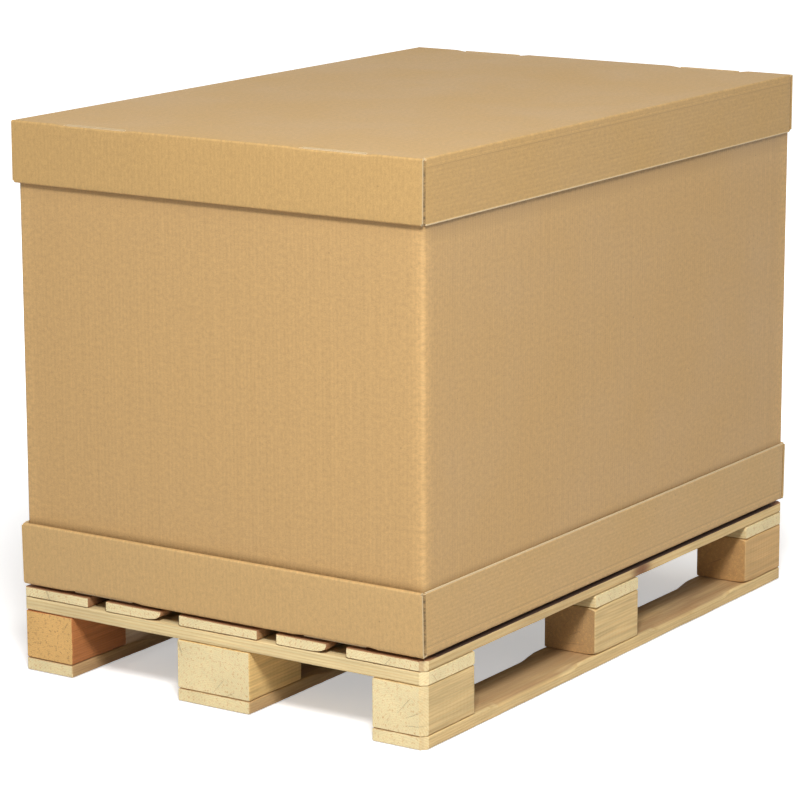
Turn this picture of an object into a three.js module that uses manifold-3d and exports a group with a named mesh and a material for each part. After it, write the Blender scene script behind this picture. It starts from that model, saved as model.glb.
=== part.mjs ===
// A corrugated-board pallet container: base tray, sleeve and lid on a four-way wooden pallet.
// Millimetres, +Z up. The origin is under the middle of the pallet, on the floor. X runs along its length.

import * as THREE from 'three';
import { mergeVertices } from 'three/addons/utils/BufferGeometryUtils.js';
import Module from 'manifold-3d';

const wasm = await Module();
wasm.setup();

// Pallet timber
const palletLength = 1200;
const palletWidth = 800;
const deckWidths = [149, 99, 158, 115, 136]; // as sawn, from -Y to +Y
const deckThickness = 22;
const crossThickness = 23;
const blockLength = 145; // the cross boards are as wide
const blockHeight = 82;
const outerRowWidth = 100;
const middleRowWidth = 145;
const middleRowShift = 9; // the middle row of blocks stands a little to +Y
const middleColumnShift = -7; // and the middle column a little to -X
const bottomThickness = 22;
const cornerCut = 12; // the pallet's upright corners are sawn off at 45 degrees
const bevelWidth = 14; // the bottom boards' upper edges, between the blocks
const bevelDepth = 8;
const bevelStop = 30; // how far a bevel ends before a block

// Nails
const nailRadius = 2.75;
const nailHeadRadius = 5;
const nailHeadHeight = 2.5;
const nailInset = 32; // from a block's or board's edge to the nail
const nailRecess = 0.5; // how far the heads are driven below the wood
const nailGrip = 45; // how deep a nail is held in the wood
const clinchRadius = 1.9;
const clinchHeadRadius = 4;
const clinchTipLength = 14;
const clinchTipThickness = 2.4;
const nailClearance = 0.3;

// The container's lid and tray, over the ends and sides of the pallet
const endOverhang = 2.9;
const sideInset = 1.2;

// Sleeve: double-wall board, one sheet glued into a ring
const sleeveHeight = 774;
const sleeveBoard = 7;
const sleeveFoldRadius = 8;
const glueFlapWidth = 66;

// Lid and tray: single-wall board, one folded sheet each, with rolled-over ends
const coverBoard = 2.8;
const lidHeight = 102.5;
const trayHeight = 106;
const lidLean = 1; // how far a lid's end walls stand out at their free edge
const trayLean = 2.6;
const coverFoldInside = 0.8; // the radius inside a fold
const layerGap = 0.3; // between the layers of an end wall
const endClearance = 0.4; // sleeve to the inside of an end wall
const sideClearance = 0.2; // sleeve to where the fold of a side wall begins
const cornerGap = 0.6; // a side wall's face to the cut edge of the end wall beside it
const cornerFlapLength = 98;
const slotLength = 125;
const slotInset = 105; // from a cover's side to its nearest slot
const slotPlay = 7; // how much shorter than its slot a tongue is
const tongueRecess = 0.4; // a tongue's tip to the outside of the floor

const foldSteps = 4;
const nailSides = 6;
const spill = 1; // how far a cutting tool runs past what it cuts
const weldTolerance = 1e-4;

const kraft = 0xc39d68;
const pine = 0xe6cf9c;
const kraftRoughness = 0.9;
const pineRoughness = 0.8;

// Solids

function toSolid(geometry) {
  const bare = geometry.clone();
  bare.deleteAttribute('normal');
  bare.deleteAttribute('uv');
  const welded = mergeVertices(bare, weldTolerance);
  return new wasm.Manifold(new wasm.Mesh({
    numProp: 3,
    vertProperties: new Float32Array(welded.attributes.position.array),
    triVerts: new Uint32Array(welded.index.array),
  }));
}

function toGeometry(solid) {
  const mesh = solid.getMesh();
  const geometry = new THREE.BufferGeometry();
  geometry.setAttribute('position', new THREE.BufferAttribute(mesh.vertProperties, 3));
  geometry.setIndex(new THREE.BufferAttribute(mesh.triVerts, 1));
  geometry.computeVertexNormals();
  return geometry;
}

function ordered(a, b) {
  return a < b ? [a, b] : [b, a];
}

function joined(solids) {
  return solids.reduce((whole, piece) => whole.add(piece));
}

function cut(solid, tools) {
  return tools.reduce((rest, tool) => rest.subtract(tool), solid);
}

function box([x0, x1], [y0, y1], [z0, z1]) {
  const geometry = new THREE.BoxGeometry(x1 - x0, y1 - y0, z1 - z0);
  geometry.translate((x0 + x1) / 2, (y0 + y1) / 2, (z0 + z1) / 2);
  return toSolid(geometry);
}

const alongX = [new THREE.Vector3(0, 1, 0), new THREE.Vector3(0, 0, 1), new THREE.Vector3(1, 0, 0)];
const alongY = [new THREE.Vector3(1, 0, 0), new THREE.Vector3(0, 0, 1), new THREE.Vector3(0, -1, 0)];
const alongZ = [new THREE.Vector3(1, 0, 0), new THREE.Vector3(0, 1, 0), new THREE.Vector3(0, 0, 1)];

// An outline pushed along an axis, centred on the origin, or from 0 up along Z.
function extruded(shape, depth, axes) {
  const geometry = new THREE.ExtrudeGeometry(shape, { depth, bevelEnabled: false });
  if (axes !== alongZ) geometry.translate(0, 0, -depth / 2);
  geometry.applyMatrix4(new THREE.Matrix4().makeBasis(...axes));
  return toSolid(geometry);
}

// A round profile of [radius, height] points, from the axis up and back to the axis.
function turned(profile) {
  const points = profile.map(([radius, height]) => new THREE.Vector2(radius, height));
  const geometry = new THREE.LatheGeometry(points, nailSides);
  geometry.rotateX(Math.PI / 2);
  return toSolid(geometry);
}

// Folded board

// The section of a sheet whose outer face follows the corners given, all turned to the left: every fold is
// rounded outside, and the inner face lies one board's thickness to the left.
function foldedSection(corners, radius, thickness) {
  const points = corners.map(([x, y]) => new THREE.Vector2(x, y));
  const outer = [];
  const inner = [];
  const addStop = (point, direction) => {
    outer.push(point.clone());
    inner.push(point.clone().addScaledVector(leftOf(direction), thickness));
  };
  points.forEach((point, i) => {
    const before = i > 0 ? point.clone().sub(points[i - 1]).normalize() : null;
    const after = i < points.length - 1 ? points[i + 1].clone().sub(point).normalize() : null;
    if (!before || !after) {
      addStop(point, before ?? after);
      return;
    }
    const centre = point.clone().addScaledVector(before, -radius).addScaledVector(leftOf(before), radius);
    for (let step = 0; step <= foldSteps; step += 1) {
      const angle = before.angle() - Math.PI / 2 + (step / foldSteps) * (Math.PI / 2);
      const ray = new THREE.Vector2(Math.cos(angle), Math.sin(angle));
      outer.push(centre.clone().addScaledVector(ray, radius));
      inner.push(centre.clone().addScaledVector(ray, radius - thickness));
    }
  });
  return new THREE.Shape([...outer, ...inner.reverse()]);
}

function leftOf(direction) {
  return new THREE.Vector2(-direction.y, direction.x);
}

const coverFoldRadius = coverBoard + coverFoldInside;
const coverLength = palletLength + 2 * endOverhang;
const coverWidth = palletWidth - 2 * sideInset;
const sleeveLength = coverLength - 2 * (3 * coverBoard + 2 * layerGap + endClearance);
const sleeveWidth = coverWidth - 2 * (coverFoldRadius + sideClearance);

// The tray as it stands, floor at z = 0. The lid is the same sheet turned over.
// Each end is three layers: the outer wall, the side walls' corner flaps, and the outer wall rolled over
// and down again inside. The inner layer's tongues go into slots along the fold.
function cover(height, lean) {
  const endX = coverLength / 2;
  const sideY = coverWidth / 2;
  const innerX = endX - 3 * coverBoard - 2 * layerGap;
  const flapX = endX - coverBoard - layerGap; // outer face of a corner flap
  const foldX = flapX - coverFoldRadius; // where a side wall's upright fold begins
  const floorTop = coverBoard + layerGap;
  const flapTop = height - coverBoard - layerGap;
  const floorCutTop = floorTop - layerGap / 2; // cuts through the floor end clear of what stands on it

  const lengthwise = foldedSection([
    [-innerX, floorTop], [-innerX, height], [-endX, height], [-endX, 0],
    [endX, 0], [endX, height], [innerX, height], [innerX, floorTop],
  ], coverFoldRadius, coverBoard);
  const sheet = extruded(lengthwise, 2 * (sideY - cornerGap), alongY);
  const across = foldedSection([
    [-sideY, flapTop], [-sideY, 0], [sideY, 0], [sideY, flapTop],
  ], coverFoldRadius, coverBoard);
  const sideWalls = extruded(across, 2 * foldX, alongX);
  const rims = [-1, 1].map((side) => {
    const y = ordered(side * sideY, side * (sideY - coverBoard));
    return box([-foldX, foldX], y, [flapTop - spill, height]);
  });

  const trims = [-1, 1].flatMap((side) => {
    const floorEdge = ordered(side * (sideY - coverFoldRadius), side * (sideY + spill));
    const rollEnd = ordered(side * (sideY - coverBoard - cornerGap), side * (sideY + spill));
    const floorTrim = box([-foldX, foldX], floorEdge, [-spill, floorCutTop]);
    const rollTrims = [-1, 1].map((end) => {
      const x = ordered(end * (innerX - spill), end * (endX - coverBoard));
      return box(x, rollEnd, [floorCutTop, height + spill]);
    });
    return [floorTrim, ...rollTrims];
  });

  const slotCentre = sideY - slotInset - slotLength / 2;
  const places = [-1, 1].flatMap((end) => [-1, 1].map((side) => ({ end, y: side * slotCentre })));
  const slots = places.map(({ end, y }) => {
    const x = ordered(end * (innerX - layerGap), end * (flapX - layerGap));
    return box(x, [y - slotLength / 2, y + slotLength / 2], [-spill, floorCutTop]);
  });
  const tongues = places.map(({ end, y }) => {
    const x = ordered(end * innerX, end * (innerX + coverBoard));
    const high = y + slotLength / 2 - layerGap;
    return box(x, [high - slotLength + slotPlay, high], [tongueRecess, floorTop + spill]);
  });

  const corners = [-1, 1].flatMap((end) => [-1, 1].map((side) => cornerFlap(end, side)));
  function cornerFlap(end, side) {
    const reach = sideY - coverFoldRadius - cornerFlapLength;
    const path = [[foldX, -sideY], [flapX, -sideY], [flapX, -reach]];
    const turn = end === side ? path.map(([x, y]) => [x, -y]).reverse() : path;
    const placed = turn.map(([x, y]) => [end * x, end * y]);
    const section = foldedSection(placed, coverFoldRadius, coverBoard);
    return extruded(section, flapTop - floorTop, alongZ).translate([0, 0, floorTop]);
  }

  const flat = joined([cut(sheet, [...trims, ...slots]), sideWalls, ...rims, ...tongues, ...corners]);
  return leanOut(flat, height, lean);
}

// The end walls stand out a little at their free edges, because their layers push them apart.
function leanOut(solid, height, lean) {
  const endLayers = 3 * coverBoard + 2 * layerGap;
  const start = coverLength / 2 - 2 * endLayers;
  return solid.warp((point) => {
    if (Math.abs(point[0]) > start) point[0] += (Math.sign(point[0]) * lean * point[2]) / height;
  });
}

// The plan of the sleeve. Its sheet starts at a cut edge at the +X, -Y corner, goes round clockwise seen
// from above, and ends in a flap glued to the inside of the first panel.
function sleevePlan() {
  const x = sleeveLength / 2;
  const y = sleeveWidth / 2;
  const r = sleeveFoldRadius;
  const t = sleeveBoard;
  const shape = new THREE.Shape();
  shape.moveTo(x, -y);
  shape.lineTo(x, -y + t);
  shape.lineTo(x - r, -y + t);
  shape.absarc(x - r, -y + t + r, r, -Math.PI / 2, 0);
  shape.lineTo(x, y - r);
  shape.absarc(x - r, y - r, r, 0, Math.PI / 2);
  shape.lineTo(-x + r, y);
  shape.absarc(-x + r, y - r, r, Math.PI / 2, Math.PI);
  shape.lineTo(-x, -y + r);
  shape.absarc(-x + r, -y + r, r, Math.PI, 1.5 * Math.PI);
  shape.closePath();
  const inside = new THREE.Path([
    new THREE.Vector2(-x + t, -y + t),
    new THREE.Vector2(-x + t, y - t),
    new THREE.Vector2(x - t, y - t),
    new THREE.Vector2(x - t, -y + 2 * t),
    new THREE.Vector2(x - glueFlapWidth, -y + 2 * t),
    new THREE.Vector2(x - glueFlapWidth, -y + t),
  ]);
  shape.holes.push(inside);
  return shape;
}

function sleeve() {
  const geometry = new THREE.ExtrudeGeometry(sleevePlan(), {
    depth: sleeveHeight,
    bevelEnabled: false,
    curveSegments: foldSteps + 1,
  });
  return toSolid(geometry);
}

// Pallet

const bottomTop = bottomThickness;
const blockTop = bottomTop + blockHeight;
const crossTop = blockTop + crossThickness;
const deckTop = crossTop + deckThickness;

const outerColumn = (palletLength - blockLength) / 2;
const blockColumns = [-outerColumn, middleColumnShift, outerColumn];
const outerRow = (palletWidth - outerRowWidth) / 2;
const rows = [
  { y: -outerRow, width: outerRowWidth },
  { y: middleRowShift, width: middleRowWidth },
  { y: outerRow, width: outerRowWidth },
];

// The deck boards lie with equal gaps. The second and the fourth pass between the rows of blocks.
function deckRows() {
  const boards = deckWidths.reduce((sum, width) => sum + width, 0);
  const gap = (palletWidth - boards) / (deckWidths.length - 1);
  let edge = -palletWidth / 2;
  return deckWidths.map((width) => {
    const y = edge + width / 2;
    edge += width + gap;
    return { y, width };
  });
}

// The pallet's outline as a tall prism: every piece is sawn to it.
function sawnOutline() {
  const x = palletLength / 2;
  const y = palletWidth / 2;
  const c = cornerCut;
  const points = [
    [x, -y + c], [x, y - c], [x - c, y], [-x + c, y],
    [-x, y - c], [-x, -y + c], [-x + c, -y], [x - c, -y],
  ].map(([px, py]) => new THREE.Vector2(px, py));
  return extruded(new THREE.Shape(points), deckTop, alongZ);
}

// Nail places, from the middle of a block or a crossing: three from above, three from below in the gaps.
function blockNails(width, side) {
  const dx = blockLength / 2 - nailInset;
  const dy = width / 2 - nailInset;
  return [[-dx, -side * dy], [dx, -side * dy], [0, side * dy]];
}

function clinchNails(width) {
  const dx = blockLength / 2 - nailInset;
  const dy = width / 2 - nailInset;
  return [[-dx, -dy], [dx, -dy], [-dx, dy], [dx, dy]];
}

// A nail with its head up at z = 0 and its shank going down, or the hole for it.
function nailSolid(radius, headRadius, length) {
  return turned([[0, -length], [radius, -length], [radius, -nailHeadHeight], [headRadius, 0], [0, 0]]);
}

function nailHole(radius, headRadius, length) {
  const r = radius + nailClearance;
  const head = headRadius + nailClearance;
  return turned([
    [0, -length], [r, -length], [r, -nailHeadHeight - nailClearance], [head, -nailClearance / 2],
    [head, nailRecess + spill], [0, nailRecess + spill],
  ]);
}

const topNailLength = deckThickness + crossThickness - nailRecess + nailGrip;
const bottomNailLength = bottomThickness - nailRecess + nailGrip;
const clinchLength = deckThickness + crossThickness - nailRecess;

const topNails = blockColumns.flatMap((x) => rows.flatMap((row) => (
  blockNails(row.width, 1).map(([dx, dy]) => [x + dx, row.y + dy, deckTop - nailRecess])
)));
const bottomNails = blockColumns.flatMap((x) => rows.flatMap((row) => (
  blockNails(row.width, -1).map(([dx, dy]) => [x + dx, row.y + dy, nailRecess])
)));
const passingRows = deckRows().filter((row, i) => i % 2 === 1);
const clinched = blockColumns.flatMap((x) => passingRows.flatMap((row) => (
  clinchNails(row.width).map(([dx, dy]) => [x + dx, row.y + dy, deckTop - nailRecess])
)));

const longNail = nailSolid(nailRadius, nailHeadRadius, topNailLength);
const bottomNail = nailSolid(nailRadius, nailHeadRadius, bottomNailLength).rotate([180, 0, 0]);
const clinchNail = nailSolid(clinchRadius, clinchHeadRadius, clinchLength);
const longHole = nailHole(nailRadius, nailHeadRadius, topNailLength);
const bottomHole = nailHole(nailRadius, nailHeadRadius, bottomNailLength).rotate([180, 0, 0]);
const clinchHole = nailHole(clinchRadius, clinchHeadRadius, clinchLength);

function within(places, [x0, x1], [y0, y1]) {
  return places.filter(([x, y]) => x > x0 && x < x1 && y > y0 && y < y1);
}

function placed(solid, places) {
  return places.map((place) => solid.translate(place));
}

const outline = sawnOutline();

function timber(x, y, z) {
  return box(x, y, z).intersect(outline);
}

function deckBoard(row) {
  const x = [-palletLength / 2, palletLength / 2];
  const y = [row.y - row.width / 2, row.y + row.width / 2];
  const holes = [
    ...placed(longHole, within(topNails, x, y)),
    ...placed(clinchHole, within(clinched, x, y)),
  ];
  return cut(timber(x, y, [crossTop, deckTop]), holes);
}

// A cross board holds the clinched nails of the deck boards that pass between the blocks: their tips are
// bent over below it.
function crossBoard(column) {
  const x = [column - blockLength / 2, column + blockLength / 2];
  const y = [-palletWidth / 2, palletWidth / 2];
  const board = cut(timber(x, y, [blockTop, crossTop]), placed(longHole, within(topNails, x, y)));
  const nails = within(clinched, x, y);
  const tips = nails.map(([nx, ny]) => box(
    [nx - clinchRadius, nx + clinchRadius],
    [ny - clinchRadius, ny - clinchRadius + clinchTipLength],
    [blockTop - clinchTipThickness, blockTop + spill],
  ));
  return joined([board, ...placed(clinchNail, nails), ...tips]);
}

function block(column, row) {
  const x = [column - blockLength / 2, column + blockLength / 2];
  const y = [row.y - row.width / 2, row.y + row.width / 2];
  return joined([
    timber(x, y, [bottomTop, blockTop]),
    ...placed(longNail, within(topNails, x, y)),
    ...placed(bottomNail, within(bottomNails, x, y)),
  ]);
}

// A bottom board, its upper edges bevelled between the blocks for truck wheels.
function bottomBoard(row) {
  const x = [-palletLength / 2, palletLength / 2];
  const y = [row.y - row.width / 2, row.y + row.width / 2];
  const bays = [0, 1].map((i) => [blockColumns[i] + blockLength / 2, blockColumns[i + 1] - blockLength / 2]);
  const bevels = bays.flatMap(([start, end]) => [-1, 1].map((side) => {
    const edge = side * row.width / 2;
    const corner = [[0, -bevelDepth], [side * spill, -bevelDepth], [side * spill, spill],
      [-side * bevelWidth, spill], [-side * bevelWidth, 0]];
    const points = corner.map(([dy, dz]) => new THREE.Vector2(row.y + edge + dy, bottomTop + dz));
    const bevel = extruded(new THREE.Shape(points), end - start - 2 * bevelStop, alongX);
    return bevel.translate([(start + end) / 2, 0, 0]);
  }));
  return cut(timber(x, y, [0, bottomTop]), [...bevels, ...placed(bottomHole, within(bottomNails, x, y))]);
}

// Assembly

const container = new THREE.Group();
const pallet = new THREE.Group();
container.add(pallet);

function addPiece(parent, name, solid, color, roughness) {
  const material = new THREE.MeshStandardMaterial({ color, roughness, metalness: 0 });
  const mesh = new THREE.Mesh(toGeometry(solid), material);
  mesh.name = name;
  parent.add(mesh);
  return mesh;
}

rows.forEach((row, i) => addPiece(pallet, `bottom_board_${i + 1}`, bottomBoard(row), pine, pineRoughness));
blockColumns.forEach((column, i) => rows.forEach((row, j) => {
  addPiece(pallet, `block_${i + 1}_${j + 1}`, block(column, row), pine, pineRoughness);
}));
blockColumns.forEach((column, i) => {
  addPiece(pallet, `cross_board_${i + 1}`, crossBoard(column), pine, pineRoughness);
});
deckRows().forEach((row, i) => {
  addPiece(pallet, `deck_board_${i + 1}`, deckBoard(row), pine, pineRoughness);
});

const tray = addPiece(container, 'base_tray', cover(trayHeight, trayLean), kraft, kraftRoughness);
tray.position.z = deckTop;
const sleeveMesh = addPiece(container, 'sleeve', sleeve(), kraft, kraftRoughness);
sleeveMesh.position.z = deckTop + coverBoard;
const lid = addPiece(container, 'lid', cover(lidHeight, lidLean), kraft, kraftRoughness);
lid.rotation.x = Math.PI;
lid.position.z = deckTop + coverBoard + sleeveHeight + coverBoard;

export default container;
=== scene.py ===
# %% [markdown]
# # A corrugated-board container on a wooden pallet
# The real object is a pallet-sized box for shipping: a tall board sleeve, called the collar, stands in a
# folded base tray under a matching lid, and all of it rests on a nailed softwood pallet. The sizes come from
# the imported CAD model, which Blender loads as a fixed frame. This lesson gives every piece its sheet edges,
# folds, saw marks and finish, and then lights the whole as a plain studio shot.

# %% Load the frame
import math

import bmesh
import bpy
import numpy as np
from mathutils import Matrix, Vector, noise


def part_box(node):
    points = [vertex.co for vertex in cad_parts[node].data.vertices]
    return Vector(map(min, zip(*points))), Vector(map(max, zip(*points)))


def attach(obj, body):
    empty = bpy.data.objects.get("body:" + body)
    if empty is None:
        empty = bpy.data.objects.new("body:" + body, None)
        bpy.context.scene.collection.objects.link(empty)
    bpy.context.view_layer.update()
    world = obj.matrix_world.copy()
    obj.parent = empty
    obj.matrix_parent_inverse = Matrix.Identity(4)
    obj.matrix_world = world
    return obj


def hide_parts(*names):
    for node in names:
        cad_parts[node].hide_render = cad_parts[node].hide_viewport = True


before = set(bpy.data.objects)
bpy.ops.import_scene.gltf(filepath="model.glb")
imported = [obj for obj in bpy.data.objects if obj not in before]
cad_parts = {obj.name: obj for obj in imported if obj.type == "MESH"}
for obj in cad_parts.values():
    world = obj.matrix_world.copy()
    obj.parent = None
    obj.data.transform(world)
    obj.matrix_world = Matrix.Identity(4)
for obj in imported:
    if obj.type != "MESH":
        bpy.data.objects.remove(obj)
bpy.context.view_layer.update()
MM = 0.001

# %% [markdown]
# ## The camera
# A product photo is taken from well back with a long lens, so that the box's edges stay almost parallel.
# The camera's place is given by where it looks from: an azimuth round the pallet, a height above the
# horizon, and a small roll. Turning those angles into a matrix keeps the numbers readable.

# %% Set up the camera
camera_place = Vector((-4.789, -3.141, 1.678))
camera_azimuth = math.radians(-56.374)
camera_elevation = math.radians(12.590)
camera_roll = math.radians(-0.172)

flat = math.cos(camera_elevation)
back = Vector((math.sin(camera_azimuth) * flat, -math.cos(camera_azimuth) * flat, math.sin(camera_elevation)))
right = (-back).cross(Vector((0, 0, 1))).normalized()
up = right.cross(-back)
rolled_right = right * math.cos(camera_roll) + up * math.sin(camera_roll)
rolled_up = up * math.cos(camera_roll) - right * math.sin(camera_roll)

camera = bpy.data.objects.new("camera", bpy.data.cameras.new("camera"))
camera.data.lens = 152.2
camera.data.sensor_width = 36
camera.data.clip_end = 200
for row in range(3):
    camera.matrix_world[row][:] = (rolled_right[row], rolled_up[row], back[row], camera_place[row])
bpy.context.collection.objects.link(camera)
bpy.context.scene.camera = camera
print("camera distance from the pallet, m:", round(camera_place.length, 2))

# %% [markdown]
# ## Building node trees
# Every finish below is a network of shader nodes. Written by hand in the editor it would be a web of wires;
# written in code it is easier to read if one small helper makes a node, sets its options and fills its
# inputs. An input may be a plain value or the output of another node.

# %% A helper for nodes
def fill(tree, made, inputs):
    """Fills a node's inputs with plain values or with other nodes' outputs."""
    for key, value in inputs.items():
        if isinstance(value, bpy.types.NodeSocket):
            tree.links.new(value, made.inputs[key])
        else:
            made.inputs[key].default_value = value


def node(tree, kind, options, inputs, output=0):
    """Adds a node, sets its options, fills its inputs and gives one of its outputs."""
    made = tree.nodes.new(kind)
    for name, value in options.items():
        setattr(made, name, value)
    fill(tree, made, inputs)
    return made.outputs[output]


def maths(tree, operation, *values, clamp=False):
    """One step of arithmetic on plain values."""
    options = {"operation": operation, "use_clamp": clamp}
    return node(tree, "ShaderNodeMath", options, dict(enumerate(values)))


def times(tree, first, second):
    return maths(tree, "MULTIPLY", first, second)


def span(tree, value, from_low, from_high, to_low=0.0, to_high=1.0):
    """Maps a range of a value smoothly to another range, and holds it at both ends."""
    inputs = {0: value, 1: from_low, 2: from_high, 3: to_low, 4: to_high}
    return node(tree, "ShaderNodeMapRange", {"interpolation_type": "SMOOTHSTEP"}, inputs)


def blended(tree, amount, first, second, how="MIX"):
    """Mixes two colours."""
    options = {"data_type": "RGBA", "blend_type": how}
    return node(tree, "ShaderNodeMix", options, {0: amount, 6: first, 7: second}, 2)


def picked(tree, amount, first, second):
    """Mixes two plain values."""
    return node(tree, "ShaderNodeMix", {"data_type": "FLOAT"}, {0: amount, 2: first, 3: second})


def axis(tree, vector, name):
    """One coordinate of a vector."""
    return node(tree, "ShaderNodeSeparateXYZ", {}, {0: vector}, name)


def length_of(tree, vector):
    return node(tree, "ShaderNodeVectorMath", {"operation": "LENGTH"}, {0: vector}, 1)


def stretched(tree, place, scale):
    """Scales each axis of a place by its own amount, which draws a texture out along the small ones."""
    return node(tree, "ShaderNodeVectorMath", {"operation": "MULTIPLY"}, {0: place, 1: scale})


def cloudy(tree, place, scale, detail=3.0, roughness=0.55):
    inputs = {"Vector": place, "Scale": scale, "Detail": detail, "Roughness": roughness}
    return node(tree, "ShaderNodeTexNoise", {}, inputs)


def swing(tree, place, scale, detail=3.0, roughness=0.55):
    """Noise that swings about zero."""
    return maths(tree, "SUBTRACT", cloudy(tree, place, scale, detail, roughness), 0.5)

# %% Groups and materials
def shader_group(name, inputs, outputs):
    """A node group with named sockets, and the two nodes that stand for its ends."""
    tree = bpy.data.node_groups.new(name, "ShaderNodeTree")
    kinds = {"vector": "NodeSocketVector", "value": "NodeSocketFloat"}
    for socket, kind in inputs.items():
        tree.interface.new_socket(socket, in_out="INPUT", socket_type=kinds[kind])
    for socket, kind in outputs.items():
        tree.interface.new_socket(socket, in_out="OUTPUT", socket_type=kinds[kind])
    return tree, tree.nodes.new("NodeGroupInput").outputs, tree.nodes.new("NodeGroupOutput")


def use_group(tree, group, values):
    """Places a group and gives all its outputs."""
    return node(tree, "ShaderNodeGroup", {"node_tree": group}, values).node.outputs


def plain_material(name, colour, roughness, height=None, bump=0.0):
    """Finishes a started material. Its colour and roughness may be values or sockets of its own tree."""
    material = bpy.data.materials[name]
    tree = material.node_tree
    inputs = {"Base Color": colour, "Roughness": roughness}
    if height is not None:
        relief = {"Height": height, "Distance": bump, "Strength": 1.0}
        inputs["Normal"] = node(tree, "ShaderNodeBump", {}, relief)
    fill(tree, tree.nodes["Principled BSDF"], inputs)
    return material


def started(name):
    """A new material's tree, ready for nodes."""
    material = bpy.data.materials.new(name)
    assert material.name == name, f"another material is already called {name}"
    material.use_nodes = True
    return material.node_tree

# %% [markdown]
# ## What kraft board looks like
# Corrugated board is a wavy paper between two flat ones. The waves show through the outer paper as faint,
# even stripes about seven millimetres apart. The paper itself is a little cloudy and full of short darker
# and lighter fibres. All board pieces share this, so it is a node group. It reads a UV map that holds each
# point's place on the flat sheet in metres, so the stripes turn with the board at every fold. An attribute
# says where the paper is worn pale, where a highlight is painted on it and where painted shade darkens it;
# painting that by hand would need an image.

# %% Kraft paper as a node group
def kraft_group():
    tree, given, result = shader_group(
        "kraft paper",
        {"Place": "vector", "Across": "value", "Pitch": "value", "Stripes": "value", "Streaks": "value",
         "Wear_And_Shade": "value"},
        {"Tone": "value", "Height": "value", "Roughness": "value"},
    )
    place = given["Place"]
    drift = times(tree, cloudy(tree, place, 6.0), 4 * MM)
    turns = maths(tree, "DIVIDE", maths(tree, "ADD", given["Across"], drift), given["Pitch"])
    wave = maths(tree, "SINE", times(tree, turns, 2 * math.pi))
    patchy = span(tree, cloudy(tree, place, 9.0, 4.0), 0.3, 0.7, 0.35, 1.0)
    stripes = times(tree, times(tree, wave, patchy), given["Stripes"])

    clouds = swing(tree, place, 4.0, 5.0, 0.6)
    blotches = swing(tree, stretched(tree, place, (120, 150, 1)), 1.0, 3.0, 0.65)
    fibres = swing(tree, stretched(tree, place, (420, 620, 1)), 1.0, 2.0, 0.7)
    track = node(tree, "ShaderNodeCombineXYZ", {}, {
        0: times(tree, given["Across"], 75.0), 1: times(tree, clouds, 0.6)})
    rubbed = node(tree, "ShaderNodeTexNoise", {"noise_dimensions": "2D"}, {
        "Vector": track, "Scale": 1.0, "Detail": 3.0, "Roughness": 0.7})
    streaks = maths(tree, "SUBTRACT", rubbed, 0.5)
    tone = maths(tree, "ADD", 1.0, stripes)
    for part, amount in ((streaks, given["Streaks"]), (clouds, 0.13), (blotches, 0.42), (fibres, 0.50)):
        tone = maths(tree, "MULTIPLY_ADD", part, amount, tone)
    # paler where the paper is worn and where a highlight is painted, darker where shade is painted
    wear_and_shade_tone = times(tree, given["Wear_And_Shade"], span(tree, blotches, -0.2, 0.2, 0.05, 0.17))
    dots = node(tree, "ShaderNodeTexVoronoi", {"feature": "F1"}, {"Vector": place, "Scale": 42.0}, 0)
    speck = times(tree, span(tree, dots, 0.035, 0.07, 0.28, 0.0),
                  span(tree, cloudy(tree, place, 11.0), 0.52, 0.6))
    fill(tree, result, {
        "Tone": maths(tree, "SUBTRACT", maths(tree, "ADD", tone, wear_and_shade_tone), speck),
        "Height": maths(tree, "MULTIPLY_ADD", wave, 0.8, times(tree, fibres, 0.9)),
        "Roughness": span(tree, clouds, -0.3, 0.3, 0.52, 0.68),
    })
    return tree


kraft = kraft_group()
print("kraft sockets:", [s.name for s in kraft.interface.items_tree])

# %% Board materials
board_relief, edge_relief = 0.06 * MM, 0.08 * MM


def board_material(name, colour, pitch, stripes, streaks, across="Y"):
    """The outer papers of one sheet; across names the flat sheet's axis that crosses the waves."""
    tree = started(name)
    place = node(tree, "ShaderNodeUVMap", {"uv_map": "sheet"}, {})
    paper = use_group(tree, kraft, {
        "Place": place, "Across": axis(tree, place, across),
        "Pitch": pitch, "Stripes": stripes, "Streaks": streaks,
        "Wear_And_Shade": node(tree, "ShaderNodeAttribute", {"attribute_name": "wear_and_shade"}, {}, 2),
    })
    toned = blended(tree, 1.0, (*colour, 1), paper["Tone"], "MULTIPLY")
    return plain_material(name, toned, paper["Roughness"], paper["Height"], board_relief)


edge_colour, wave_colour = (0.95, 0.77, 0.48), (0.46, 0.29, 0.12)


def raw_edge_material(name, sheet, layers):
    """The cut edge: pale flat papers with the darker wave between them, once for each layer of waves."""
    tree = started(name)
    place = node(tree, "ShaderNodeUVMap", {"uv_map": "sheet"}, {})
    turns = maths(tree, "FRACT", times(tree, axis(tree, place, "X"), layers / sheet))
    hollow = span(tree, maths(tree, "ABSOLUTE", maths(tree, "SUBTRACT", turns, 0.5)), 0.26, 0.42, 1.0, 0.0)
    torn = cloudy(tree, stretched(tree, place, (900, 900, 1)), 1.0, 3.0, 0.7)
    shade = span(tree, torn, 0.35, 0.65, 0.8, 1.0)
    mixed = blended(tree, times(tree, hollow, 0.45), (*edge_colour, 1), (*wave_colour, 1))
    toned = blended(tree, 1.0, mixed, shade, "MULTIPLY")
    return plain_material(name, toned, 0.9, torn, edge_relief)


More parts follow.
